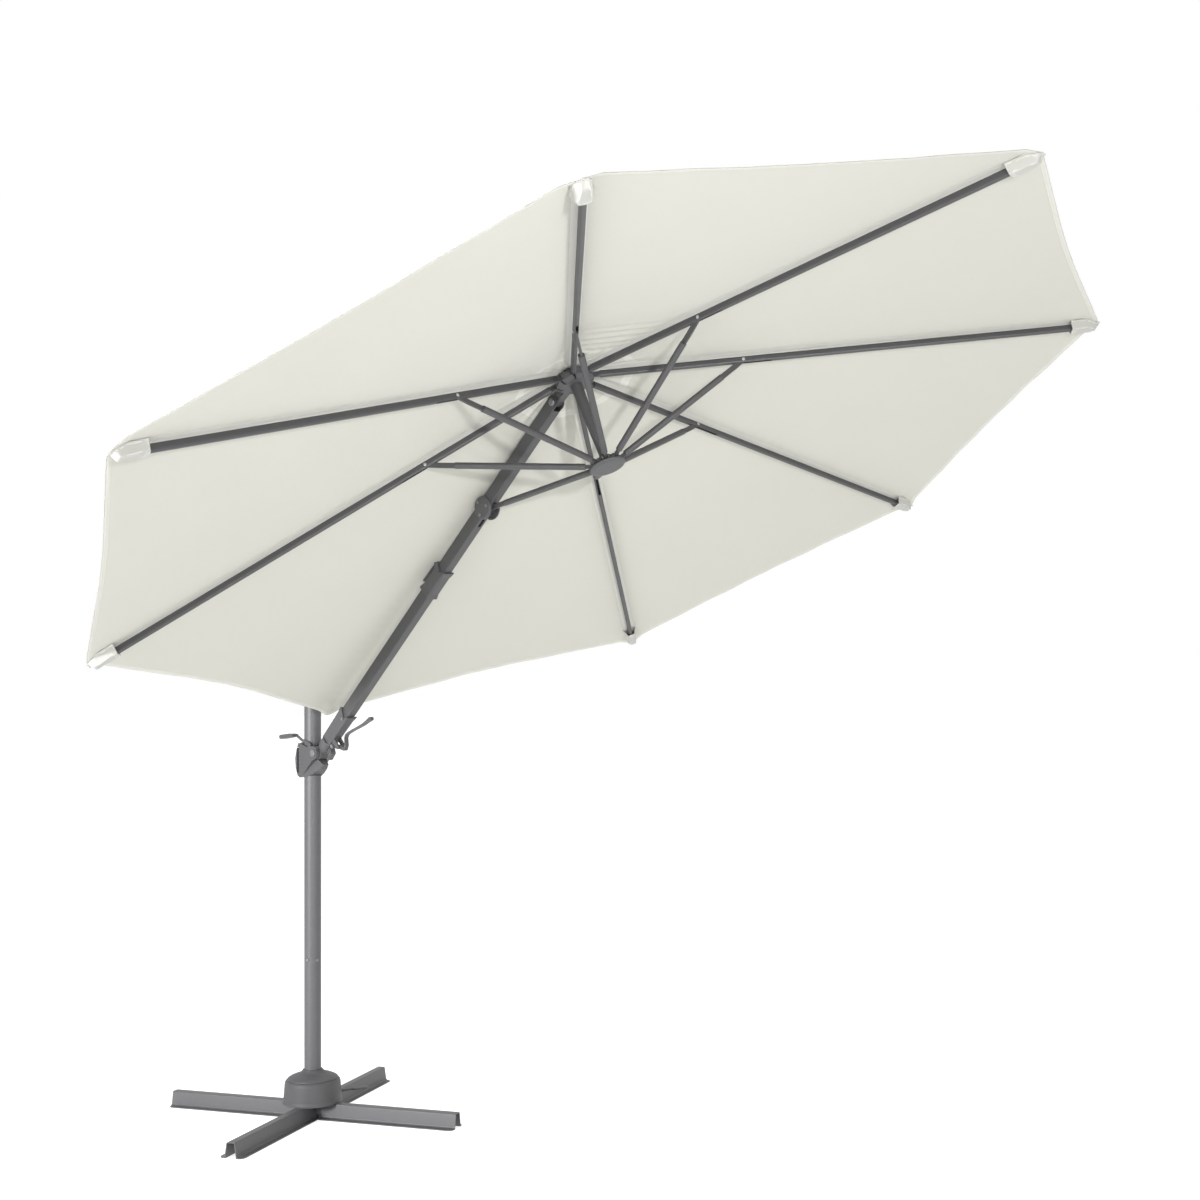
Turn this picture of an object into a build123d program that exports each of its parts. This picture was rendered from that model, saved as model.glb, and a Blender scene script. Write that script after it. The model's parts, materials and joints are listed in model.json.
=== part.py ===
from build123d import *
import os
from math import atan2, cos, degrees, hypot, radians, sin, tan

# Cantilever parasol on a cross base, millimetres, +Z up.
# Origin: on the mast axis, on the floor. +X is the side the boom reaches over.

# ---- driving dimensions ----
MAST_R = 25.0            # outer radius of the mast tube
MAST_WALL = 1.5
MAST_JOINT_Z = 503.0     # where the two mast sections meet
MAST_TOP_Z = 2200.0
LEG_HALF = 485.0         # half length of the long cross leg
SHORT_LEG_HALF = 447.0   # half length of the short cross leg
LEG_HEIGHT = 45.0
LEG_DECK = 26.0          # width of the flat top of a leg
LEG_WIDTH = 76.0         # over both flanges
LEG_GAUGE = 2.5
LEG_ANGLE = 26.0         # direction of the long leg, from +X
LEG_CROSSING = 92.0      # angle from the long leg to the short one
HOUSING_R = 88.0         # base housing at its foot
HOUSING_TOP = 116.0
PEDAL_ANGLE = 75.0
PIVOT_X = 47.0           # boom tilt pivot
PIVOT_Z = 1108.0
BOOM_ANGLE = 41.0        # boom above the horizontal
BOOM_TWIST = 4.0         # side twist of the boom about its own axis
BOOM_HIGH = 37.0         # boom section, in the tilt plane
BOOM_WIDE = 26.0         # boom section, across the tilt plane
BOOM_WALL = 1.8
BOOM_BOLT = 1418.0       # distance from tilt pivot to the hub bolt
CANOPY_ANGLE = 16.0      # hub plane below the boom line
HUB_ARM = 84.0           # hub bolt to hub centre, along the hub plane
HUB_RISE = 14.0          # hub centre above the bolt
HUB_R = 50.0
RIB_PIVOT_R = 45.0
RIB_DROP = 13.76         # slope of the ribs below the hub plane, degrees
RIB_END_R = 1318.0       # radius of the rib tips
RIB_WIDE = 12.0
RIB_HIGH = 19.0
STRUT_R = 425.0          # radius of the strut pivots on the ribs
STRUT_TUBE = 16.5
RUNNER_DEPTH = 240.0     # runner pivots below the hub plane
RUNNER_PIVOT_R = 36.0
BRACKET_BACK = 374.0     # push strut pivot, back from the hub bolt
BRACKET_LOW = 10.0       # push strut pivot, below the boom axis
CANOPY_R = 1336.0        # corner radius of the fabric
CANOPY_DROP = 300.0      # corner of the fabric below the hub plane
CANOPY_TOP = 22.0        # fabric above the hub plane at radius 30
CANOPY_THICK = 0.6
EDGE_HOLLOW = 12.0       # how far each fabric edge curves in
RUN_FIT = 0.05           # radial clearance of pins and bushes
GAP = 0.4                # plain clearance between moving bodies

# ---- frames ----
ELBOW = Pos(PIVOT_X, 0, PIVOT_Z) * Rot(0, -BOOM_ANGLE, 0)
BOOM = ELBOW * Rot(BOOM_TWIST, 0, 0)
HUB = BOOM * Pos(BOOM_BOLT, 0, 0) * Rot(0, CANOPY_ANGLE, 0) * Pos(HUB_ARM, 0, HUB_RISE)
RIB_NUMBERS = (1, 2, 3, 4, 5, 7, 8)
BOTTOM = (Align.CENTER, Align.CENTER, Align.MIN)


def azimuth(k):
    """Direction of rib k about the hub; number 6 points back along the boom."""
    return 180.0 + (k - 6) * 45.0


def rib_drop(radius):
    """Depth of the rib centre line below the hub plane."""
    return (radius - RIB_PIVOT_R) * tan(radians(RIB_DROP))


def cyl(point, direction, radius, length):
    return Plane(origin=point, z_dir=direction) * Cylinder(radius, length, align=BOTTOM)


def cross_cyl(x, z, radius, y0, y1):
    """Cylinder along Y."""
    return cyl((x, y0, z), (0, 1, 0), radius, y1 - y0)


def block(x0, x1, y0, y1, z0, z1):
    box = Box(x1 - x0, y1 - y0, z1 - z0)
    return Pos((x0 + x1) / 2, (y0 + y1) / 2, (z0 + z1) / 2) * box


def slab(points, y0, y1):
    """Outline in the XZ plane, thick along Y from y0 to y1."""
    plane = Plane(origin=(0, y1, 0), x_dir=(1, 0, 0), z_dir=(0, -1, 0))
    return extrude(plane * make_face(Polyline(*points, close=True)), y1 - y0)


def bar(stations, y0, y1):
    """Flat bar in the XZ plane through discs (x, z, radius), thick along Y."""
    plane = Plane(origin=(0, y1, 0), x_dir=(1, 0, 0), z_dir=(0, -1, 0))
    solid = None
    for (xa, za, ra), (xb, zb, rb) in zip(stations, stations[1:]):
        rims = Edge.make_circle(ra, Plane(origin=(xa, za, 0)))
        rims = [rims, Edge.make_circle(rb, Plane(origin=(xb, zb, 0)))]
        piece = extrude(plane * make_hull(rims), y1 - y0)
        solid = piece if solid is None else solid + piece
    return solid


def revolved(points):
    """Solid of revolution about Z from an outline of (radius, height)."""
    return revolve(Plane.XZ * make_face(Polyline(*points, close=True)), Axis.Z)


def oval_bar(x0, x1, high, wide):
    section = Plane.YZ.offset(x0) * SlotOverall(high, wide, rotation=90)
    return extrude(section, x1 - x0)


def rounded_bar(x0, x1, high, wide, radius):
    section = Plane.YZ.offset(x0) * RectangleRounded(wide, high, radius)
    return extrude(section, x1 - x0)


def rounded_loft(x0, x1, size0, size1, radius):
    """Loft along X between two rounded rectangles of (high, wide)."""
    first = Plane.YZ.offset(x0) * RectangleRounded(size0[1], size0[0], radius)
    last = Plane.YZ.offset(x1) * RectangleRounded(size1[1], size1[0], radius)
    return loft([first, last])


# ---- base ----
def leg_blank(reach):
    """Pressed channel along X with the open side down."""
    half, deck, g = LEG_WIDTH / 2, LEG_DECK / 2, LEG_GAUGE
    foot = deck + 6.0
    top = LEG_HEIGHT
    inner_deck, inner_foot = deck - g + 0.3, foot - g + 0.1
    outline = [(-half, 0), (-half, g), (-foot, g), (-deck, top), (deck, top), (foot, g)]
    outline += [(half, g), (half, 0), (inner_foot, 0), (inner_deck, top - g)]
    outline += [(-inner_deck, top - g), (-inner_foot, 0)]
    section = make_face(Polyline(*outline, close=True))
    bends = [v for v in section.vertices() if v.Y > top - 0.1]
    section = fillet(bends, 4.5)
    bends = [v for v in section.vertices() if abs(v.Y - top + g) < 0.1]
    section = fillet(bends, 2.2)
    bends = [v for v in section.vertices() if abs(v.Y - g) < 0.1 and abs(v.X) < half - 1]
    section = fillet(bends, 6)
    channel = extrude(Plane.YZ.offset(-reach) * section, 2 * reach)
    corners = channel.edges().filter_by(Axis.Z)
    corners = [e for e in corners if abs(e.center().Y) > half - 1]
    return fillet(corners, 16)


def cross_leg_long():
    leg = leg_blank(LEG_HALF)
    leg -= block(-22, 22, -60, 60, -1, LEG_HEIGHT / 2)
    leg -= block(-31, 31, -60, 60, -1, 10)
    leg -= block(-42, 42, -60, 60, -1, LEG_GAUGE + 0.3)
    leg -= cyl((0, 0, 0), (0, 0, 1), 6.2, 60)
    for x in (-56, 56):
        leg -= cyl((x, 0, 30), (0, 0, 1), 4.3, 30)
    return Rot(0, 0, LEG_ANGLE) * leg


def cross_leg_short():
    leg = leg_blank(SHORT_LEG_HALF) - block(-19, 19, -60, 60, LEG_HEIGHT / 2 - 0.3, 60)
    for x in (-56, 56):
        leg -= cyl((x, 0, 30), (0, 0, 1), 4.3, 30)
    return Rot(0, 0, LEG_ANGLE + LEG_CROSSING) * leg


def floor_pad():
    """Moulded pad that sits on the floor under the crossing."""
    pad = block(-34, 34, -14, 14, 0, 4)
    return Rot(0, 0, LEG_ANGLE + LEG_CROSSING) * fillet(pad.edges().filter_by(Axis.Z), 4)


def leg_directions():
    first, second = LEG_ANGLE, LEG_ANGLE + LEG_CROSSING
    return (first, second, first + 180, second + 180)


def base_plate():
    plate = cyl((0, 0, LEG_HEIGHT), (0, 0, 1), 76, 5)
    plate -= cyl((0, 0, LEG_HEIGHT - 1), (0, 0, 1), 6.2, 10)
    for angle in leg_directions():
        plate -= Rot(0, 0, angle) * cyl((56, 0, LEG_HEIGHT - 1), (0, 0, 1), 4.3, 10)
    for y in (-17.5, 14.5):
        ear = block(62, 74, y, y + 3, LEG_HEIGHT + 4, 74)
        plate += Rot(0, 0, PEDAL_ANGLE) * ear
    bore = cross_cyl(68, 67, 3 + RUN_FIT, -20, 20)
    return plate - Rot(0, 0, PEDAL_ANGLE) * bore


def base_bolts():
    """Four leg bolts and the centre bolt."""
    group = []
    for angle in leg_directions():
        head = Pos(56, 0, LEG_HEIGHT + 5) * extrude(RegularPolygon(6.5, 6), 4.5)
        shank = cyl((56, 0, 34), (0, 0, 1), 4, LEG_HEIGHT - 28)
        group.append(Rot(0, 0, angle) * (head + shank))
    head = Pos(0, 0, 4) * extrude(RegularPolygon(9, 6), 7)
    group.append(head + cyl((0, 0, 10), (0, 0, 1), 6, 52))
    return Compound(children=group)


def swivel_post():
    z = LEG_HEIGHT + 5
    post = cyl((0, 0, z), (0, 0, 1), 44, 6)
    post += cyl((0, 0, z + 6), (0, 0, 1), 21, 270)
    post -= cyl((0, 0, z + 14), (0, 0, 1), 18, 300)
    return post - cyl((0, 0, z - 1), (0, 0, 1), 6.2, 30)


def base_housing():
    r, top, z0 = HOUSING_R, HOUSING_TOP, LEG_HEIGHT + 0.3
    outline = [(r, z0), (r, z0 + 5), (r - 2, z0 + 12), (r - 5.5, top - 12), (r - 7, top - 6)]
    outline += [(r - 10, top - 2), (r - 15, top), (62, top), (62, top - 3), (r - 15.5, top - 3)]
    outline += [(r - 10, top - 8), (r - 8.6, top - 12), (r - 5, z0 + 12), (r - 3, z0 + 5)]
    shell = revolved(outline + [(r - 3, z0)])
    window = block(70, 100, -20, 20, LEG_HEIGHT - 1, 76)
    return shell - Rot(0, 0, PEDAL_ANGLE) * window


def base_dome():
    """Bell shaped cover between housing and mast."""
    z, neck = HOUSING_TOP, MAST_R + GAP
    outline = [(75, z + 0.1), (74, z + 3), (68, z + 7), (58, z + 11.5), (46, z + 15.5)]
    outline += [(37, z + 19.5), (31.5, z + 24), (29, z + 28), (neck, z + 28), (neck, z + 16)]
    outline += [(33, z + 14.5), (45, z + 11.5), (60, z + 6), (64, z + 0.1)]
    return revolved(outline)


def foot_pedal():
    """Rocking pedal with its own cross trunnions."""
    arm = bar([(54, 69, 3.5), (68, 67, 6), (96, 67, 2.8), (130, 67, 2.6)], -11, 11)
    tread = fillet(block(118, 172, -19, 19, 64, 69.5).edges().filter_by(Axis.Z), 14)
    pedal = arm + tread + cross_cyl(68, 67, 3, -17.5, 17.5)
    return Rot(0, 0, PEDAL_ANGLE) * pedal


# ---- mast ----
def screw_holes(radius):
    holes = cyl((0, 0, MAST_JOINT_Z - 25), (cos(radians(-71)), sin(radians(-71)), 0), radius, 40)
    return holes + cyl((0, 0, MAST_JOINT_Z - 25), (cos(radians(-4)), sin(radians(-4)), 0), radius, 40)


def mast_tube(z0, z1):
    tube = cyl((0, 0, z0), (0, 0, 1), MAST_R, z1 - z0)
    return tube - cyl((0, 0, z0 - 1), (0, 0, 1), MAST_R - MAST_WALL, z1 - z0 + 2)


def mast_lower():
    return mast_tube(70, MAST_JOINT_Z) - screw_holes(2.6)


def mast_upper():
    return mast_tube(MAST_JOINT_Z + 0.2, MAST_TOP_Z)


def mast_coupling():
    radius = MAST_R - MAST_WALL - 0.03
    sleeve = cyl((0, 0, MAST_JOINT_Z - 75), (0, 0, 1), radius, 150)
    sleeve -= cyl((0, 0, MAST_JOINT_Z - 80), (0, 0, 1), radius - 2, 160)
    return sleeve - screw_holes(2.6)


def mast_screws():
    group = []
    for angle in (-71, -4):
        shank = cyl((20.5, 0, 0), (1, 0, 0), 2.5, 5)
        head = Pos(MAST_R + 0.02, 0, 0) * Rot(0, 90, 0) * Cylinder(5, 2.6, align=BOTTOM)
        head = fillet(head.edges().sort_by(Axis.X)[-1], 1.6)
        group.append(Pos(0, 0, MAST_JOINT_Z - 25) * Rot(0, 0, angle) * (shank + head))
    return Compound(children=group)


def mast_cap():
    cap = cyl((0, 0, MAST_TOP_Z), (0, 0, 1), MAST_R, 7)
    cap = fillet(cap.edges().sort_by(Axis.Z)[-1], 4)
    return cap + cyl((0, 0, MAST_TOP_Z - 25), (0, 0, 1), MAST_R - MAST_WALL - 0.05, 26)


def mast_bushes():
    """Two plain bearings between mast and swivel post."""
    group = []
    for z in (78, 286):
        ring = cyl((0, 0, z), (0, 0, 1), MAST_R - MAST_WALL, 24)
        group.append(ring - cyl((0, 0, z - 1), (0, 0, 1), 21 + RUN_FIT, 30))
    return Compound(children=group)


def index_ring():
    """Notched ring on the mast foot that the pedal lets go of."""
    z = LEG_HEIGHT + 11 + GAP
    ring = cyl((0, 0, z), (0, 0, 1), 46, 13.2)
    ring -= cyl((0, 0, z - 1), (0, 0, 1), 21.6, 20)
    ring -= cyl((0, 0, 69.9), (0, 0, 1), MAST_R, 20)
    for i in range(12):
        ring -= Rot(0, 0, PEDAL_ANGLE + 30 * i) * block(41, 50, -4, 4, z - 1, z + 20)
    return ring


# ---- carriage ----
def nose_plan():
    """Plan outline that narrows the carriage towards its nose."""
    points = [(-70, -30), (-8, -30), (80, -7), (80, 7), (-8, 30), (-70, 30)]
    return Pos(0, 0, PIVOT_Z - 90) * extrude(make_face(Polyline(*points, close=True)), 200)


def carriage_body():
    x, z = PIVOT_X, PIVOT_Z
    back = [(-31, z + 31), (-42, z + 8), (-49, z - 18), (-46, z - 48), (-36, z - 70), (-24, z - 76)]
    cheek = back + [(-12, z - 73), (-2, z - 64), (42, z - 23), (x + 3, z - 18), (x, z + 20)]
    cheek += [(32, z + 22)]
    body = slab(cheek, -30, 30)
    body += cross_cyl(x, z, 20, -30, 30)
    nose = slab([(-20, z - 75), (6, z - 73), (32, z - 63), (x + 12, z - 48), (x + 24, z - 35),
                 (x + 2, z - 18), (0, z - 30)], -30, 30)
    body += nose & nose_plan()
    body -= cross_cyl(x, z, 22.2, -20.3, 20.3)
    body -= block(x - 22, x + 60, -20.3, 20.3, z, z + 60)
    body -= cyl((0, 0, z - 120), (0, 0, 1), MAST_R + 2, 240)
    body -= finger_slot(0)
    body -= cross_cyl(x, z, 6, -40, 40)
    body -= cross_cyl(27, z + 24, 9.5, -31, -19)
    body -= slab([(27, z + 14.5), (27, z + 40), (-60, z + 60), (-60, z + 35)], -31, -19.5)
    for y in (-30, -21.5):
        ear = bar([(27, z + 12, 8), (27, z + 24, 6)], y, y + 1.6)
        body += ear
    return body - cross_cyl(27, z + 24, 2.5 + RUN_FIT, -31, -19) - cyl((0, 0, z - 120), (0, 0, 1), MAST_R + 2, 240)


def finger_slot(margin):
    x0, x1 = -39 + margin, -29.5 - margin
    return block(x0, x1, -40, 40, PIVOT_Z - 62, PIVOT_Z + 16)


def carriage_bushes():
    group = []
    for z in (PIVOT_Z - 70, PIVOT_Z + 13):
        ring = cyl((0, 0, z), (0, 0, 1), MAST_R + 2, 10)
        group.append(ring - cyl((0, 0, z - 1), (0, 0, 1), MAST_R + RUN_FIT, 14))
    return Compound(children=group)


def tilt_pin():
    pin = cross_cyl(PIVOT_X, PIVOT_Z, 6, -30, 30)
    for y0, y1, face in ((-33.5, -30, 0), (30, 33.5, -1)):
        head = cross_cyl(PIVOT_X, PIVOT_Z, 11, y0, y1)
        pin += fillet(head.edges().sort_by(Axis.Y)[face], 1.5)
    return pin


def carriage_lever():
    """Brake lever: hub between two ears, arm up to a flat paddle."""
    z = PIVOT_Z + 24
    arm = bar([(27, z, 6), (10, z + 8, 4), (-14, z + 13, 4), (-46, z + 28, 4.2)], -28.2, -25.6)
    paddle = bar([(-46, z + 28, 4.2), (-62, z + 27, 6), (-108, z + 22, 6.5)], -46, -22)
    upright = [e for e in paddle.edges() if abs(e.center().Y + 34) > 11 and e.length > 30]
    paddle = fillet(upright, 2)
    axle = cross_cyl(27, z, 2.5, -30, -20)
    return arm + paddle + axle


# ---- elbow and boom, built along +X from the tilt pivot ----
def elbow():
    """Tilt knuckle with the spigot that the boom twists on."""
    part = cross_cyl(0, 0, 21.2, -19.8, 19.8)
    rims = [e for e in part.edges() if e.length > 100]
    part = fillet(rims, 7)
    part += cyl((10, 0, 0), (1, 0, 0), 17, 16)
    part += cyl((25, 0, 0), (1, 0, 0), 19.8, 9)
    lobe = [(26, -15), (33.9, -15), (33.9, -22.8), (54, -22.8), (54, -30), (49, -43), (24, -46.5)]
    part += slab(lobe + [(17.5, -43.2), (31, -34.5), (34, -27)], -8, 8)
    part += cyl((30, 0, 0), (1, 0, 0), 10, 40)
    return ELBOW * (part - cross_cyl(0, 0, 6 + RUN_FIT, -30, 30))


def boom_sleeve():
    part = cyl((34.4, 0, 0), (1, 0, 0), 22, 26)
    part += rounded_loft(57, 178, (42, 32), (46, 34), 6)
    part += rounded_loft(172, 190, (45, 33.5), (49, 37), 4)
    part -= slab([(191, 14), (191, -20), (176, -8)], -40, 40)
    part -= slab([(191, 14), (191, 25), (186, 24.5)], -40, 40)
    part += bar([(66, -18, 9), (66, -28, 7.5)], -9, 9)
    part += bar([(86, -18, 8), (87, -48, 6.5)], -13, -9.5)
    part += bar([(86, -18, 8), (87, -48, 6.5)], 9.5, 13)
    part -= rounded_bar(80, 200, BOOM_HIGH + 0.2, BOOM_WIDE + 0.2, 3.5)
    part -= cross_cyl(87, -48, 3 + RUN_FIT, -20, 20)
    part -= cross_cyl(66, -28, 3.05, -20, 20)
    part -= cross_cyl(170, -8, 2.6, -20, -10)
    return BOOM * (part - cyl((30, 0, 0), (1, 0, 0), 10 + RUN_FIT, 55))


def sleeve_fasteners():
    """Hex bolt of the clamp lug and the screw that holds the boom tube."""
    bolt = cross_cyl(66, -28, 3, -9, 9)
    plane = Plane(origin=(66, -9, -28), x_dir=(1, 0, 0), z_dir=(0, -1, 0))
    bolt += extrude(plane * RegularPolygon(6.5, 6), 4)
    screw = cross_cyl(170, -8, 2.5, -19, -11.6)
    screw += cross_cyl(170, -8, 4.5, -19.4, -17.1)
    return BOOM * Compound(children=[bolt, screw])


def boom_tube():
    end = BOOM_BOLT
    tube = rounded_bar(80, end, BOOM_HIGH, BOOM_WIDE, 3.5)
    tube += cross_cyl(end, 0, BOOM_HIGH / 2, -BOOM_WIDE / 2, BOOM_WIDE / 2)
    inside = rounded_bar(79, end + 40, BOOM_HIGH - 2 * BOOM_WALL, BOOM_WIDE - 2 * BOOM_WALL, 1.7)
    tube -= inside
    inner = BOOM_WIDE / 2 - BOOM_WALL
    tube -= block(end - 14, end + 30, -inner, inner, -30, 0)
    pivot = end - BRACKET_BACK
    tube -= block(pivot - 60, pivot + 32, -4.7, 4.7, -30, -10)
    tube -= cross_cyl(pivot, -BRACKET_LOW, 4, -20, 20)
    tube -= cross_cyl(170, -8, 2.6, -20, -10)
    return BOOM * (tube - cross_cyl(end, 0, 5, -20, 20))


def bracket_shells():
    """Pair of domed covers either side of the boom at the push strut."""
    x, z = BOOM_BOLT - BRACKET_BACK, -5.5
    shell = cross_cyl(x, z, 32, BOOM_WIDE / 2 + 0.1, 21)
    shell = fillet(shell.edges().sort_by(Axis.Y)[-1], 7)
    shell -= cross_cyl(x, z, 28, 0, 16.5)
    shell += cross_cyl(x, -BRACKET_LOW, 9, BOOM_WIDE / 2 + 0.3, 19)
    for px, pz in bracket_points():
        shell += cross_cyl(px, pz, 5, BOOM_WIDE / 2 + 0.3, 19)
        shell -= cross_cyl(px, pz, 2.6, 0, 30)
    return BOOM * Compound(children=[shell, mirror(shell, Plane.XZ)])


def bracket_points():
    x, z = BOOM_BOLT - BRACKET_BACK, -5.5
    return [(x + 20 * cos(radians(a)), z + 20 * sin(radians(a))) for a in (90, 210, 330)]


def bracket_screws():
    group = []
    for px, pz in bracket_points():
        screw = cross_cyl(px, pz, 2.5, 14, 21) + cross_cyl(px, pz, 4.3, 21, 22.6)
        group += [screw, mirror(screw, Plane.XZ)]
    return BOOM * Compound(children=group)


def bracket_pin():
    half = BOOM_WIDE / 2
    return BOOM * cross_cyl(BOOM_BOLT - BRACKET_BACK, -BRACKET_LOW, 4, -half, half)


def hub_bolt():
    half = BOOM_WIDE / 2
    bolt = cross_cyl(BOOM_BOLT, 0, 5, -half, half)
    for y0, y1, face in ((-half - 5, -half, 0), (half, half + 5, -1)):
        head = cross_cyl(BOOM_BOLT, 0, 10.5, y0, y1)
        bolt += fillet(head.edges().sort_by(Axis.Y)[face], 4)
    return BOOM * bolt


def clamp_lever():
    """Curved tension lever under the sleeve."""
    path = [(87, -48, 6.5), (99, -68, 4), (112, -64, 3), (126, -47, 2.6), (136, -43, 2.6)]
    path += [(150, -46, 2.6), (172, -54, 2.6), (196, -64, 2.8), (220, -73, 3.2), (242, -79, 4), (257, -83, 5.5)]
    lever = bar(path, -6, 6) + cross_cyl(87, -48, 3, -13, 13)
    lever += cross_cyl(87, -48, 6.5, -9.2, 9.2)
    return BOOM * lever


# ---- collar on the boom ----
def slide_collar():
    part = rounded_bar(716, 800, 46, 34, 8) + rounded_loft(706, 722, (52, 38), (46, 34), 8)
    part += rounded_loft(790, 806, (46, 34), (49, 37), 5)
    part -= slab([(807, 14), (807, -18), (793, -5)], -40, 40)
    for y in (-12, 9.5):
        part += bar([(794, 20, 7), (794, 29, 4)], y, y + 2.5)
    part -= cross_cyl(794, 29, 2 + RUN_FIT, -20, 20)
    return BOOM * (part - rounded_bar(700, 810, BOOM_HIGH + 0.8, BOOM_WIDE + 0.8, 3.8))


def collar_trigger():
    trigger = bar([(794, 29, 2.9), (760, 30.5, 2.6), (724, 31, 3.4)], -9, 9)
    return BOOM * (trigger + cross_cyl(794, 29, 2, -12, 12))


# ---- hub, built about its own axis ----
def hub_body():
    outline = [(8.05, -16), (40, -16), (HUB_R, -9), (HUB_R, 8), (44, 14), (8.05, 14)]
    body = revolved(outline)
    tongue = bar([(-HUB_ARM, -HUB_RISE, 10), (-36, -4, 11)], -10.9, 10.9)
    body += tongue - cyl((0, 0, -40), (0, 0, 1), 30, 80)
    body -= cross_cyl(-HUB_ARM, -HUB_RISE, 5 + RUN_FIT, -20, 20)
    for k in RIB_NUMBERS:
        slot = block(34, 60, -2.9, 2.9, -20, 9.5)
        pin = cross_cyl(RIB_PIVOT_R, 0, 2.5, -9, 9)
        body -= Rot(0, 0, azimuth(k)) * (slot + pin)
    return HUB * body


def rib_pins():
    pins = [Rot(0, 0, azimuth(k)) * cross_cyl(RIB_PIVOT_R, 0, 2.5, -8.5, 8.5) for k in RIB_NUMBERS]
    return HUB * Compound(children=pins)


def hub_cap():
    outline = [(0, 14.1), (10, 14.1), (10, 28.2), (38, 28.2), (39, 29.5), (36, 32), (24, 36.5), (0, 39)]
    return HUB * revolved(outline)


def stub_tube():
    """Tapered centre tube that the runner parks on."""
    outline = [(0, -15.9), (15.5, -16.05), (10.5, -232), (9, -233), (0, -233)]
    tube = revolved(outline) + cyl((0, 0, -17), (0, 0, 1), 8, 24)
    return HUB * tube


# ---- ribs, struts, runner ----
def rib_frame(k):
    return HUB * Rot(0, 0, azimuth(k)) * Pos(RIB_PIVOT_R, 0, 0) * Rot(0, RIB_DROP, 0)


def rib(k):
    """Oval tube with a flat tang in the hub, slotted below for its strut, and the strut rivet."""
    length = (RIB_END_R - RIB_PIVOT_R) / cos(radians(RIB_DROP))
    tube = oval_bar(22, length, RIB_HIGH, RIB_WIDE)
    tube -= oval_bar(44, length - 12, RIB_HIGH - 2.2, RIB_WIDE - 2.2)
    tang = bar([(0, 0, 6.8), (28, 0, 6.8)], -2.5, 2.5)
    pivot = (STRUT_R - RIB_PIVOT_R) / cos(radians(RIB_DROP))
    part = tube + tang - cross_cyl(0, 0, 2.5 + RUN_FIT, -10, 10)
    part -= block(pivot - 30, pivot + 72, -3.2, 3.2, -12, -4)
    part += cross_cyl(pivot, 0, 2.5, -RIB_WIDE / 2 - 0.3, RIB_WIDE / 2 + 0.3)
    return rib_frame(k) * part


def strut_length():
    return hypot(STRUT_R - RUNNER_PIVOT_R, RUNNER_DEPTH - rib_drop(STRUT_R))


def strut(k):
    """Flat tongue in the slot of the rib, round tube, flat blade in the runner."""
    length = strut_length()
    tongue = bar([(0, 0, 5), (30, 0, 6.5), (84, 0, 6.5)], -2.7, 2.7)
    tube = cyl((74, 0, 0), (1, 0, 0), STRUT_TUBE / 2, length - 92)
    tube -= cyl((88, 0, 0), (1, 0, 0), STRUT_TUBE / 2 - 1.2, length - 116)
    blade = bar([(length - 26, 0, 5), (length, 0, 5)], -2.5, 2.5)
    part = tongue + tube + blade - cross_cyl(0, 0, 2.5 + RUN_FIT, -9, 9)
    lean = degrees(atan2(STRUT_R - RUNNER_PIVOT_R, RUNNER_DEPTH - rib_drop(STRUT_R)))
    spot = Rot(0, 0, azimuth(k)) * Pos(STRUT_R, 0, -rib_drop(STRUT_R)) * Rot(0, 90 + lean, 0)
    return HUB * spot * part


def push_strut():
    """Strut between the boom bracket and the runner."""
    a = radians(CANOPY_ANGLE)
    px = BOOM_BOLT - BRACKET_BACK
    ax, az = HUB_ARM - RUNNER_PIVOT_R, HUB_RISE - RUNNER_DEPTH
    rx = BOOM_BOLT + ax * cos(a) + az * sin(a)
    rz = -ax * sin(a) + az * cos(a)
    length = hypot(rx - px, rz + BRACKET_LOW)
    lean = degrees(atan2(-BRACKET_LOW - rz, rx - px))
    part = bar([(0, 0, 6.2), (74, 0, 6.2)], -4, 4)
    part += cyl((70, 0, 0), (1, 0, 0), STRUT_TUBE / 2, length - 88)
    part -= cyl((84, 0, 0), (1, 0, 0), STRUT_TUBE / 2 - 1.2, length - 112)
    part += bar([(length - 24, 0, 5), (length, 0, 5)], -2.5, 2.5)
    part -= cross_cyl(0, 0, 4 + RUN_FIT, -10, 10)
    part -= cross_cyl(length, 0, 2.5 + RUN_FIT, -10, 10)
    return BOOM * Pos(px, 0, -BRACKET_LOW) * Rot(0, lean, 0) * part


def runner_crown():
    """Core with a socket for the stub tube and paired lugs for each strut."""
    d = RUNNER_DEPTH
    crown = cyl((0, 0, -d - 9), (0, 0, 1), 19, 23) - cyl((0, 0, -d + 3), (0, 0, 1), 14.2, 30)
    for k in range(1, 9):
        for y in (-8.8, 6.2):
            lug = bar([(15, -d - 2, 6.5), (RUNNER_PIVOT_R, -d, 5)], y, y + 2.6)
            crown += Rot(0, 0, azimuth(k)) * lug
    crown += Rot(0, 0, azimuth(6)) * cross_cyl(RUNNER_PIVOT_R, -d, 2.5, -6.5, 6.5)
    crown -= cyl((0, 0, -d + 3), (0, 0, 1), 14.2, 30)
    return HUB * (crown - cyl((0, 0, -d - 30), (0, 0, 1), 60, 21))


def runner_cap():
    d = RUNNER_DEPTH
    outline = [(0, -d - 9.1), (46, -d - 9.1), (46.5, -d - 11), (45, -d - 13.5), (36, -d - 16)]
    return HUB * revolved(outline + [(0, -d - 17)])


# ---- canopy ----
def fabric_z(radius):
    """Height of the fabric over the hub plane along a rib."""
    slope = (CANOPY_TOP + CANOPY_DROP) / (CANOPY_R - 30.0)
    return CANOPY_TOP - slope * (radius - 30.0)


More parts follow.
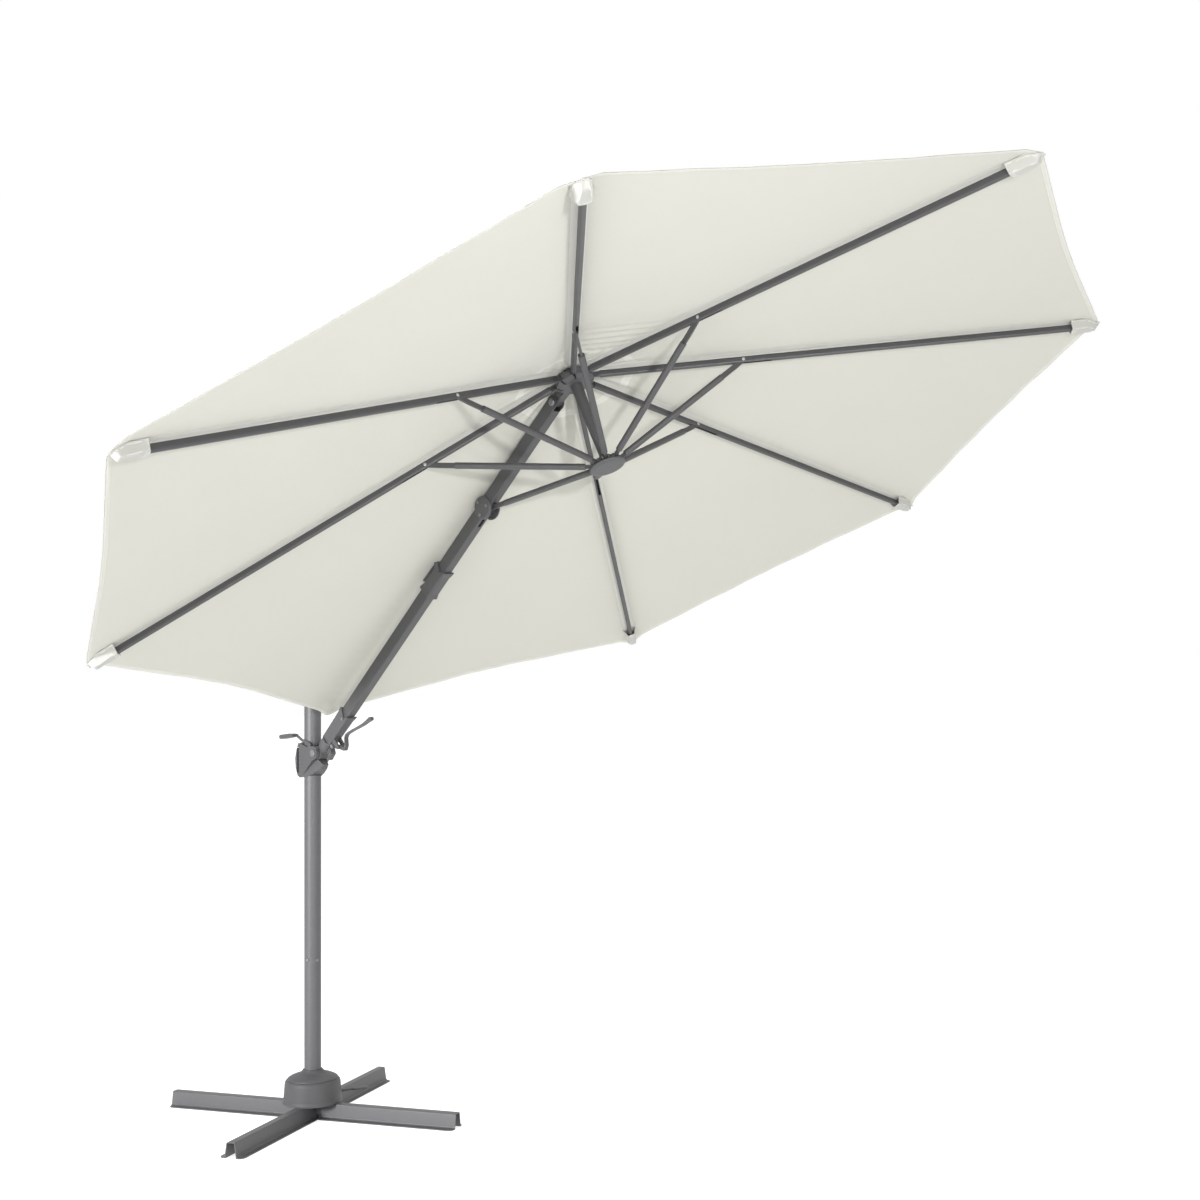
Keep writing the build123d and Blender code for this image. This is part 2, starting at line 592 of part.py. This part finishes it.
def half_panel(side):
    """Flat facet from the rib line to the middle of the bay."""
    c, s = cos(radians(22.5)), sin(radians(22.5)) * side
    lift = 0.2 / sin(radians(22.5))
    inner, tip = 12.0, CANOPY_R
    mid = CANOPY_R * c - EDGE_HOLLOW
    points = []
    for x, y in ((inner, 0), (tip, 0)):
        points.append((x, y, fabric_z(x)))
    for radius in (mid, inner * c):
        x, y = radius * c, radius * s
        z = fabric_z(radius / c)
        points.append((x + 0.2 * abs(s), y - 0.2 * c * side, z))
    face = make_face(Polyline(*points, close=True))
    return extrude(face, CANOPY_THICK, dir=(0, 0, 1))


def canopy_panel(k):
    panel = half_panel(1) + half_panel(-1)
    return HUB * Rot(0, 0, azimuth(k)) * panel


def save(name, shape):
    export_step(shape, "parts/" + name + ".step")


def main():
    os.makedirs("parts", exist_ok=True)
    makers = [cross_leg_long, cross_leg_short, floor_pad, base_plate, base_bolts, swivel_post]
    makers += [base_housing, base_dome, foot_pedal, mast_lower, mast_upper, mast_coupling]
    makers += [mast_screws, mast_cap, mast_bushes, index_ring, carriage_body, carriage_bushes]
    makers += [tilt_pin, carriage_lever, elbow, boom_sleeve, sleeve_fasteners, boom_tube]
    makers += [bracket_shells, bracket_screws, bracket_pin, hub_bolt, clamp_lever, slide_collar]
    makers += [collar_trigger, hub_body, rib_pins, hub_cap, stub_tube, push_strut]
    makers += [runner_crown, runner_cap]
    for maker in makers:
        save(maker.__name__, maker())
    for k in RIB_NUMBERS:
        save("rib_%d" % k, rib(k))
        save("strut_%d" % k, strut(k))
    for k in range(1, 9):
        save("canopy_panel_%d" % k, canopy_panel(k))


main()
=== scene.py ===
import json
from math import cos, pi, radians, sin, sqrt, tan

import bpy
from mathutils import Matrix, Vector


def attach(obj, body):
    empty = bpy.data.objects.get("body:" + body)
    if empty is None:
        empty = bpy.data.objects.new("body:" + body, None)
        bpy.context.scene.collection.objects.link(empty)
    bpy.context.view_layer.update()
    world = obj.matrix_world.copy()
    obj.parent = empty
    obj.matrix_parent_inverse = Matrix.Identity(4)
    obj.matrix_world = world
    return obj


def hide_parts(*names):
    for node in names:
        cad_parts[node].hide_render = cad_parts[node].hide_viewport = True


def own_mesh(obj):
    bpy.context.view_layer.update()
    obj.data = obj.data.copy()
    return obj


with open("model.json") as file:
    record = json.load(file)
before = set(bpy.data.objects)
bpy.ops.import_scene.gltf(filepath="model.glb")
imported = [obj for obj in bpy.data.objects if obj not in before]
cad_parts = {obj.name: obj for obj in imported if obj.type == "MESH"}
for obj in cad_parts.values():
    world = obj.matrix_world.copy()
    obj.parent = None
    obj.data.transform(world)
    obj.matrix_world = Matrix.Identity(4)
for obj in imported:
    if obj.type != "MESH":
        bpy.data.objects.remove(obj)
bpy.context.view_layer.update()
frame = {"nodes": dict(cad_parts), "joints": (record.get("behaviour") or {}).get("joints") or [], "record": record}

JOINTS = {j["name"]: j for j in frame["joints"]}
RIBS = (1, 2, 3, 4, 5, 7, 8)
HALF = radians(22.5)


# ---------- the hub frame, from the rib joints ----------
def joint_point(name):
    return Vector(JOINTS[name]["pos_m"])


HUB = (joint_point("rib4_fold") + joint_point("rib8_fold")) / 2
OUT4 = (joint_point("rib4_fold") - HUB).normalized()
UP = OUT4.cross(Vector(JOINTS["rib4_fold"]["axis"])).normalized()
AWAY = OUT4.cross(UP).normalized()

# ---------- sizes, in metres ----------
FABRIC_TOP = 0.0220      # cloth above the hub plane, at FABRIC_START
FABRIC_START = 0.030
FABRIC_R = 1.336         # corner radius
FABRIC_DROP = 0.300      # corner below the hub plane
SLOPE = (FABRIC_TOP + FABRIC_DROP) / (FABRIC_R - FABRIC_START)
EYE_R = 0.012            # hole in the cloth at the hub
CLOTH_THICK = 0.0008
HEM_EXTRA = 0.0007       # second layer of the hem
HEM_WIDE = 0.0115
HEM_STEP = 0.0122        # where the hem thickness ends, measured from the edge
SEAM_HALF = 0.0165       # half width of the doubled cloth along a rib
RING_IN, RING_OUT = 0.150, 0.172
STITCH = 0.0034          # stitch length
THREAD = 0.0007          # thread thickness
WEAVE = 0.0011           # thread spacing
RIB_PIVOT_R = 0.045
RIB_FACE = 0.0060        # half width of a rib
RIB_SLOPE = tan(radians(13.76))
STRUT_R = 0.425          # strut pivots on the ribs
POCKET_IN = 1.260
POCKET_HUG = 0.0112      # pocket below the rib centre line


def hub_matrix(k):
    """Frame of canopy direction k: X outward, Z up from the hub plane."""
    turn = radians(180 + (k - 6) * 45)
    out = AWAY * cos(turn) + OUT4 * sin(turn)
    side = UP.cross(out)
    m = Matrix((out, side, UP)).transposed().to_4x4()
    m.translation = HUB
    return m


# ---------- shader helpers ----------
class Graph:
    def __init__(self, name):
        self.mat = bpy.data.materials.new(name)
        self.mat.use_nodes = True
        self.tree = self.mat.node_tree
        self.tree.nodes.clear()
        self.out = self.add("ShaderNodeOutputMaterial")

    def add(self, kind, **values):
        node = self.tree.nodes.new(kind)
        for key, value in values.items():
            setattr(node, key, value)
        return node

    def link(self, a, b):
        self.tree.links.new(a, b)

    def feed(self, socket, value):
        if isinstance(value, bpy.types.NodeSocket):
            self.link(value, socket)
        else:
            socket.default_value = value

    def math(self, op, a, b=0.0, c=0.0, clamp=False):
        node = self.add("ShaderNodeMath", operation=op, use_clamp=clamp)
        for socket, value in zip(node.inputs, (a, b, c)):
            self.feed(socket, value)
        return node.outputs[0]

    def attribute(self, name):
        return self.add("ShaderNodeAttribute", attribute_name=name).outputs["Fac"]

    def noise(self, coord, scale, detail=3.0, rough=0.5):
        node = self.add("ShaderNodeTexNoise")
        self.link(coord, node.inputs["Vector"])
        node.inputs["Scale"].default_value = scale
        node.inputs["Detail"].default_value = detail
        node.inputs["Roughness"].default_value = rough
        return node.outputs["Fac"]

    def thread(self, value, start):
        """A sewn line as wide as the thread."""
        return self.band(value, start, start + THREAD, 0.0003)

    def dashes(self, along):
        """1 on each stitch and 0 between stitches."""
        wave = self.math("SINE", self.math("MULTIPLY", along, 2 * pi / STITCH))
        return self.math("GREATER_THAN", wave, -0.35)

    def mix(self, fac, a, b):
        node = self.add("ShaderNodeMix", data_type="RGBA")
        self.feed(node.inputs["Factor"], fac)
        self.feed(node.inputs["A"], a)
        self.feed(node.inputs["B"], b)
        return node.outputs["Result"]

    def band(self, value, low, high, soft):
        """1 between low and high, falling off over soft on both sides."""
        rise = self.math("DIVIDE", self.math("SUBTRACT", value, low - soft), soft, clamp=True)
        fall = self.math("DIVIDE", self.math("SUBTRACT", high + soft, value), soft, clamp=True)
        return self.math("MULTIPLY", rise, fall)

    def bump(self, height, distance, strength=1.0, before=None):
        node = self.add("ShaderNodeBump")
        node.inputs["Distance"].default_value = distance
        node.inputs["Strength"].default_value = strength
        self.link(height, node.inputs["Height"])
        if before is not None:
            self.link(before, node.inputs["Normal"])
        return node.outputs["Normal"]


def coated(name, shade, rough, grain=900.0, depth=0.00006, metallic=0.0, drift=0.05):
    """Painted or moulded surface with fine grain and slight unevenness."""
    g = Graph(name)
    coord = g.add("ShaderNodeTexCoord").outputs["Object"]
    cloud = g.noise(coord, 9.0, 4.0)
    fine = g.noise(coord, grain, 2.0, 0.7)
    darker = tuple(c * (1 - drift) for c in shade) + (1,)
    lighter = tuple(min(1, c * (1 + drift)) for c in shade) + (1,)
    color = g.mix(cloud, darker, lighter)
    shader = g.add("ShaderNodeBsdfPrincipled")
    edge = g.add("ShaderNodeNewGeometry").outputs["Pointiness"]
    worn = g.math("MULTIPLY", g.math("SUBTRACT", edge, 0.53), 5.0, clamp=True)
    worn = g.math("MULTIPLY", worn, g.noise(coord, 60.0, 3.0))
    bare = tuple(min(1, c * 1.6) for c in shade) + (1,)
    color = g.mix(g.math("MULTIPLY", worn, 0.5), color, bare)
    g.link(color, shader.inputs["Base Color"])
    spread = g.math("MULTIPLY_ADD", cloud, 0.12, rough - 0.06)
    g.link(g.math("MULTIPLY_ADD", fine, 0.10, spread), shader.inputs["Roughness"])
    shader.inputs["Metallic"].default_value = metallic
    shader.inputs["Specular IOR Level"].default_value = 0.45
    g.link(g.bump(fine, depth), shader.inputs["Normal"])
    g.link(shader.outputs[0], g.out.inputs["Surface"])
    return g.mat


def fabric(name, shade, through=0.20):
    """Woven polyester with rib seams, hem stitching and a ring seam round the hub."""
    g = Graph(name)
    uv = g.add("ShaderNodeUVMap").outputs["UV"]
    axes = g.add("ShaderNodeSeparateXYZ")
    g.link(uv, axes.inputs[0])
    u, v = axes.outputs[0], axes.outputs[1]
    seam, hem, ring = g.attribute("seam_d"), g.attribute("hem_d"), g.attribute("hub_r")
    warp = g.math("SINE", g.math("MULTIPLY", u, 2 * pi / WEAVE))
    weft = g.math("SINE", g.math("MULTIPLY", v, 2 * pi / WEAVE))
    cell = g.math("MULTIPLY", warp, weft)
    slub = g.noise(uv, 420.0, 2.0)
    weave = g.math("ADD", g.math("MULTIPLY", cell, 0.5), slub)
    cloud = g.noise(uv, 2.2, 3.0)
    fleck = g.noise(uv, 60.0, 4.0, 0.7)
    base = tuple(shade) + (1,)
    dim = tuple(c * 0.955 for c in shade) + (1,)
    color = g.mix(cloud, dim, base)
    color = g.mix(g.math("MULTIPLY", fleck, 0.10), color, tuple(c * 0.86 for c in shade) + (1,))
    hemmed = g.band(hem, -0.01, HEM_WIDE, 0.0008)
    beside_rib = g.band(seam, 0.0, SEAM_HALF, 0.0008)
    joined = g.math("MAXIMUM", beside_rib, g.band(ring, RING_IN, RING_OUT, 0.001))
    layered = g.math("MAXIMUM", joined, hemmed)
    pale = g.math("MAXIMUM", g.math("MULTIPLY", joined, 0.40), g.math("MULTIPLY", hemmed, 0.05))
    color = g.mix(pale, color, (0.70, 0.70, 0.66, 1))
    lines = g.math("ADD", g.thread(seam, 0.0150), g.thread(seam, 0.0110))
    lines = g.math("MULTIPLY", lines, g.dashes(ring))
    rows = g.math("ADD", g.thread(hem, 0.0095), g.thread(hem, 0.0030))
    rows = g.math("ADD", rows, g.thread(ring, 0.1525))
    rows = g.math("ADD", rows, g.thread(ring, 0.1690))
    stitch = g.math("ADD", lines, g.math("MULTIPLY", rows, g.dashes(v)), clamp=True)
    # Painted shade: a thin darker line just outside the doubled cloth beside each rib and at the inner edge of the
    # hem, where the step in the cloth would throw shade.
    beside = g.band(seam, SEAM_HALF, 0.0172, 0.0006)
    painted_step_shade = g.math("ADD", beside, g.band(hem, 0.0116, 0.0126, 0.0006), clamp=True)
    color = g.mix(g.math("MULTIPLY", painted_step_shade, 0.18), color, tuple(c * 0.70 for c in shade) + (1,))
    color = g.mix(g.math("MULTIPLY", stitch, 0.45), color, (0.80, 0.80, 0.77, 1))
    normal = g.bump(weave, 0.00008, 0.5)
    height = g.math("ADD", g.math("MULTIPLY", layered, 0.5), g.math("MULTIPLY", stitch, 0.4))
    normal = g.bump(height, 0.0006, 0.7, normal)
    crumple = g.noise(uv, 14.0, 4.0, 0.55)
    normal = g.bump(crumple, 0.004, 0.35, normal)
    face = g.add("ShaderNodeBsdfPrincipled")
    g.link(color, face.inputs["Base Color"])
    face.inputs["Roughness"].default_value = 0.82
    face.inputs["Specular IOR Level"].default_value = 0.18
    face.inputs["Sheen Weight"].default_value = 0.25
    face.inputs["Sheen Roughness"].default_value = 0.5
    g.link(normal, face.inputs["Normal"])
    glow = g.add("ShaderNodeBsdfTranslucent")
    g.link(color, glow.inputs["Color"])
    g.link(normal, glow.inputs["Normal"])
    blend = g.add("ShaderNodeMixShader")
    amount = g.math("MULTIPLY_ADD", layered, -0.5 * through, through)
    g.link(amount, blend.inputs["Fac"])
    g.link(face.outputs[0], blend.inputs[1])
    g.link(glow.outputs[0], blend.inputs[2])
    g.link(blend.outputs[0], g.out.inputs["Surface"])
    return g.mat


# ---------- frame materials ----------
GREY = (0.068, 0.068, 0.071)
FINISH = {
    "frame_steel": coated("powder_coat_steel", (0.100, 0.100, 0.104), 0.44, metallic=0.25),
    "frame_alu": coated("powder_coat_alu", GREY, 0.44, metallic=0.25),
    "moulding": coated("grey_moulding", (0.067, 0.067, 0.070), 0.50, grain=500.0, depth=0.0001),
    "bolts": coated("plated_bolt", (0.20, 0.20, 0.205), 0.38, metallic=0.6, drift=0.08),
    "bush": coated("bearing_plastic", (0.03, 0.03, 0.03), 0.5),
    "canopy": fabric("canopy_cloth", (0.578, 0.574, 0.518)),
}
SLOT_OF = {s["node"]: s["material_slot"] for s in frame["record"]["subparts"]}
for node_name, item in frame["nodes"].items():
    item.data.materials.clear()
    item.data.materials.append(FINISH[SLOT_OF[node_name]])


# ---------- canopy ----------
def smooth(x):
    """0 to 1 with level ends."""
    x = max(0.0, min(1.0, x))
    return x * x * (3 - 2 * x)


def edge_radius(k, w):
    """Octagon radius of the free edge; w is 0 at a rib and 1 in mid bay."""
    reach = 0.030 * (1 - abs(w)) ** 1.3 if k == 6 else 0.0
    return FABRIC_R + reach - 0.0135 * sin(pi / 2 * abs(w)) ** 1.25


def bay_seed(k, w):
    """A number per bay, the same from both ribs beside it."""
    return (k if w >= 0 else k - 1) % 8


def fabric_height(k, r, w):
    """Height over the hub plane at octagon radius r."""
    z = FABRIC_TOP - SLOPE * (r - FABRIC_START)
    share = abs(w)
    open_cloth = 1 - (1 - share) ** 2
    z -= 0.0065 * open_cloth * sin(pi * smooth((r - 0.10) / 1.3))
    bay = bay_seed(k, w)
    mid = 1 - share
    across = mid if w >= 0 else -mid
    fade = smooth((r - 0.12) / 0.10) * smooth((0.46 - r) / 0.20)
    fold = 0.0038 if bay == 1 else 0.0011
    z += fold * fade * open_cloth * sin(2 * pi * (r / 0.047 + 0.25 * across * across + bay * 0.37))
    seam = r * tan(HALF) * share
    pucker = 0.0006 * smooth(seam / 0.012) * smooth((0.075 - seam) / 0.06)
    z += pucker * sin(2 * pi * r / 0.037 + bay)
    pull = smooth((r - 0.95) / 0.38)
    z += 0.0010 * pull * open_cloth * sin(2 * pi * (2.2 * share + 0.3 * bay)) * sin(pi * share)
    hem = edge_radius(k, w) - r
    z += 0.0005 * smooth(1 - hem / 0.05) * open_cloth * sin(2 * pi * share * 3 + bay)
    gather = smooth((r - 0.05) / 0.05) * smooth((0.27 - r) / 0.12) * sin(pi * share)
    z += 0.0024 * gather * sin(2 * pi * (1.5 * share + 0.27 * bay) + 9 * r)
    tip = smooth((r - 1.300) / 0.036) * smooth(1 - seam / 0.045)
    return z - 0.009 * tip


def stations(k, w):
    """Octagon radii from the hub out, closer together at the hem."""
    edge = edge_radius(k, w)
    rows = [EYE_R + (edge - 0.026 - EYE_R) * i / 150 for i in range(150)]
    for back in (0.0250, 0.0200, 0.0160, 0.0130, 0.0118, 0.0106, 0.006, 0.0035, 0.0015, 0.0):
        rows.append(edge - back)
    return rows


def cloth_mesh(name, verts, faces, fields, uvs):
    """Smooth mesh with the distances that the cloth material reads."""
    mesh = bpy.data.meshes.new(name)
    mesh.from_pydata(verts, [], faces)
    for label, values in zip(("seam_d", "hem_d", "hub_r"), fields):
        mesh.attributes.new(label, "FLOAT", "POINT").data.foreach_set("value", values)
    layer = mesh.uv_layers.new(name="UVMap")
    for loop in mesh.loops:
        layer.data[loop.index].uv = uvs[loop.vertex_index]
    mesh.polygons.foreach_set("use_smooth", [True] * len(mesh.polygons))
    return mesh


def panel_mesh(name, k):
    """One kite of the sewn canopy, with a real thickness and a doubled hem."""
    columns = 72
    shares = []
    for i in range(columns + 1):
        s = -1 + 2 * i / columns
        shares.append(s * (0.35 + 0.65 * abs(s)))
    verts, seam_d, hem_d, hub_r, uvs = [], [], [], [], []
    for layer in (0, 1):
        for w in shares:
            edge = edge_radius(k, w)
            for r in stations(k, w):
                x = r * cos(HALF) / (cos(HALF) + abs(w) * tan(HALF) * sin(HALF))
                y = x * w * tan(HALF)
                z = fabric_height(k, r, w)
                back = edge - r
                thick = CLOTH_THICK + HEM_EXTRA * smooth((HEM_STEP - back) / 0.0012)
                if back < 0.0015:
                    thick *= 0.55 + 0.45 * sqrt(max(0.0, back) / 0.0015)
                verts.append((x, y, z if layer == 0 else z - thick))
                seam_d.append(abs(y) + (1.0 if k == 6 else 0.0))
                hem_d.append(back * cos(HALF))
                hub_r.append(r)
                turn = HALF if w >= 0 else -HALF
                uvs.append((x * cos(turn) + y * sin(turn) + k * 1.7, y * cos(turn) - x * sin(turn)))
    rows = len(stations(k, 0))
    base = len(shares) * rows
    faces = []
    for i in range(len(shares) - 1):
        for j in range(rows - 1):
            a = i * rows + j
            top = (a, a + 1, a + rows + 1, a + rows)
            faces.append(top[::-1])
            faces.append(tuple(n + base for n in top))
    for i in range(len(shares) - 1):
        for j in (0, rows - 1):
            a, b = i * rows + j, (i + 1) * rows + j
            quad = (a, b, b + base, a + base)
            faces.append(quad if j == 0 else quad[::-1])
    last = (len(shares) - 1) * rows
    for j in range(rows - 1):
        faces.append((j, j + 1, j + 1 + base, j + base)[::-1])
        faces.append((last + j, last + j + 1, last + j + 1 + base, last + j + base))
    mesh = cloth_mesh(name, verts, faces, (seam_d, hem_d, hub_r), uvs)
    sides = set(range(rows)) | set(range(last, last + rows))
    sides |= {n + base for n in sides}
    ends = [tuple(e.vertices) for e in mesh.edges]
    rims = [n in sides and m in sides and abs(n - m) == 1 for n, m in ends]
    mesh.attributes.new("sharp_edge", "BOOLEAN", "EDGE").data.foreach_set("value", rims)
    mesh.transform(hub_matrix(k))
    mesh.update()
    return mesh


def place(name, mesh, material):
    """New object in the scene with one material."""
    obj = bpy.data.objects.new(name, mesh)
    bpy.context.scene.collection.objects.link(obj)
    obj.data.materials.append(material)
    return obj


def rib_line(radius):
    """Height of a rib centre line over the hub plane."""
    return -(radius - RIB_PIVOT_R) * RIB_SLOPE


def pocket_mesh(name, k):
    """Folded corner pocket that wraps the rib end from below."""
    m = hub_matrix(k)
    verts, faces, seam_d, hem_d, hub_r, uvs = [], [], [], [], [], []
    rows, cols = 26, 34
    inner, outer = POCKET_IN, FABRIC_R - 0.0015
    for i in range(rows + 1):
        s = i / rows
        r = inner + (outer - inner) * s
        half = 0.0225 * (1 - 0.50 * s ** 2.2) + 0.0012 * sin(9 * s + k)
        for j in range(cols + 1):
            t = -1 + 2 * j / cols
            y = half * t
            sheet_z = fabric_height(k, r, 0) - 0.0022 - SLOPE * 0.41 * abs(y)
            under = rib_line(r) - POCKET_HUG - 0.0006 * sin(4 * pi * s + 2 * t)
            belly = smooth((1 - abs(t)) / 0.55)
            closing = 1 - smooth((r - 1.3185) / 0.014)
            z = sheet_z + (under - sheet_z) * belly * closing
            verts.append((r - 0.005 * (1 - abs(t)) * (1 - s), y, z))
            seam_d.append(0.03 + abs(y))
            hem_d.append(min(s * (outer - inner), (1 - abs(t)) * half) + 0.0005)
            hub_r.append(r)
            uvs.append((r, y))
    for i in range(rows):
        for j in range(cols):
            a = i * (cols + 1) + j
            faces.append((a, a + cols + 1, a + cols + 2, a + 1))
    mesh = cloth_mesh(name, verts, faces, (seam_d, hem_d, hub_r), uvs)
    mesh.transform(m)
    obj = place(name, mesh, SHADED_POCKET_CLOTH)
    thick = obj.modifiers.new("thickness", "SOLIDIFY")
    thick.thickness = 0.0011
    thick.offset = 0
    return obj


def build_canopy():
    """Eight kites that meet edge to edge, seven of them with a corner pocket."""
    for k in range(1, 9):
        body = "boom" if k == 6 else "rib%d" % k
        panel = place("canopy_cloth_%d" % k, panel_mesh("canopy_cloth_%d" % k, k), FINISH["canopy"])
        pockets = [pocket_mesh("corner_pocket_%d" % k, k)] if k != 6 else []
        m = hub_matrix(k)
        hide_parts("canopy_panel_%d" % k)
        for piece in [panel] + pockets:
            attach(piece, body)
        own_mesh(panel)


def rivet_heads(k):
    """Domed heads of the strut rivet, on both faces of the rib."""
    m = hub_matrix(k) @ Matrix.Translation((STRUT_R, 0, rib_line(STRUT_R)))
    verts, faces = [], []
    turns = 20
    rings = ((0.0, 0.0042), (0.0007, 0.0042), (0.0014, 0.0032), (0.0018, 0.0015))
    for face in (-1, 1):
        start = len(verts)
        for out, radius in rings:
            for i in range(turns):
                a = 2 * pi * i / turns
                verts.append((radius * cos(a), face * (RIB_FACE + out), radius * sin(a)))
        for ring in range(len(rings) - 1):
            for i in range(turns):
                a, b = start + ring * turns + i, start + ring * turns + (i + 1) % turns
                faces.append((a, b, b + turns, a + turns)[::face])
        top = start + (len(rings) - 1) * turns
        faces.append(tuple(range(top, top + turns))[::face])
    mesh = bpy.data.meshes.new("strut_rivet_%d" % k)
    mesh.from_pydata(verts, [], faces)
    mesh.transform(m)
    rivet = place("strut_rivet_%d" % k, mesh, RIVET)
    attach(rivet, "rib%d" % k)


RIVET = coated("rivet_head", (0.55, 0.55, 0.56), 0.30, metallic=0.8)
for number in RIBS:
    rivet_heads(number)
# Painted shade: the pocket is the same cloth as the canopy, made darker to offset the extra light its faces catch.
SHADED_POCKET_CLOTH = fabric("pocket_cloth_painted_shade", (0.45, 0.45, 0.42), through=0.12)
build_canopy()


# ---------- floor, light and camera ----------
def plain(name, shade, glow):
    """Matt surface with a little light of its own."""
    g = Graph(name)
    diffuse = g.add("ShaderNodeBsdfDiffuse")
    diffuse.inputs["Color"].default_value = shade
    lamp = g.add("ShaderNodeEmission")
    lamp.inputs["Color"].default_value = (1, 1, 1, 1)
    lamp.inputs["Strength"].default_value = glow
    both = g.add("ShaderNodeAddShader")
    g.link(diffuse.outputs[0], both.inputs[0])
    g.link(lamp.outputs[0], both.inputs[1])
    g.link(both.outputs[0], g.out.inputs["Surface"])
    return g.mat


def stage():
    """Floor and backdrop."""
    mesh = bpy.data.meshes.new("floor")
    size = 60.0
    mesh.from_pydata([(-size, -size, 0), (size, -size, 0), (size, size, 0), (-size, size, 0)],
                     [], [(0, 1, 2, 3)])
    floor = place("floor", mesh, plain("pale_floor", (0.50, 0.50, 0.50, 1), 0.80))
    floor.location.z = -0.0005
    world = bpy.data.worlds.new("studio")
    world.use_nodes = True
    # White behind the object, a softer grey on the camera's side.
    tree = world.node_tree
    spot = tree.nodes.new("ShaderNodeTexCoord")
    toward = tree.nodes.new("ShaderNodeVectorMath")
    toward.operation = "DOT_PRODUCT"
    toward.inputs[1].default_value = (-0.745, 0.667, 0.0)
    spread = tree.nodes.new("ShaderNodeMapRange")
    spread.interpolation_type = "SMOOTHSTEP"
    for index, value in enumerate((-0.2, 0.70, 0.62, 1.0)):
        spread.inputs[index + 1].default_value = value
    tree.links.new(spot.outputs["Generated"], toward.inputs[0])
    tree.links.new(toward.outputs["Value"], spread.inputs["Value"])
    tree.links.new(spread.outputs["Result"], tree.nodes["Background"].inputs["Strength"])
    tree.nodes["Background"].inputs["Color"].default_value = (1, 1, 1, 1)
    bpy.context.scene.world = world


def softbox(name, spot, target, size, power):
    """Rectangular area light aimed at a point."""
    data = bpy.data.lights.new(name, "AREA")
    data.shape = "RECTANGLE"
    data.size, data.size_y = size
    data.energy = power
    lamp = bpy.data.objects.new(name, data)
    bpy.context.scene.collection.objects.link(lamp)
    lamp.location = spot
    lamp.rotation_euler = (Vector(target) - Vector(spot)).to_track_quat("-Z", "Y").to_euler()
    return lamp


def camera():
    data = bpy.data.cameras.new("photo")
    data.sensor_width = 36.0
    data.lens = 46.83
    data.shift_x, data.shift_y = -0.124, 0.0734
    data.dof.use_dof = False
    cam = bpy.data.objects.new("photo", data)
    bpy.context.scene.collection.objects.link(cam)
    cam.location = (4.162, -2.663, 1.304)
    cam.rotation_euler = (radians(90), 0, radians(41.78))
    bpy.context.scene.camera = cam


stage()
softbox("key", (0.7, -4.6, 1.6), (0.6, 0.0, 0.8), (0.7, 0.9), 230)
front = softbox("front", (4.83, -2.06, 1.78), (1.3, 0.0, 1.9), (0.13, 0.13), 19)
front.data.spread = radians(80)
softbox("top", (0.2, 0.6, 4.6), (0.6, 0, 1.2), (2.5, 2.5), 60)
camera()
view = bpy.context.scene.view_settings
view.view_transform = "Standard"
view.look = "None"
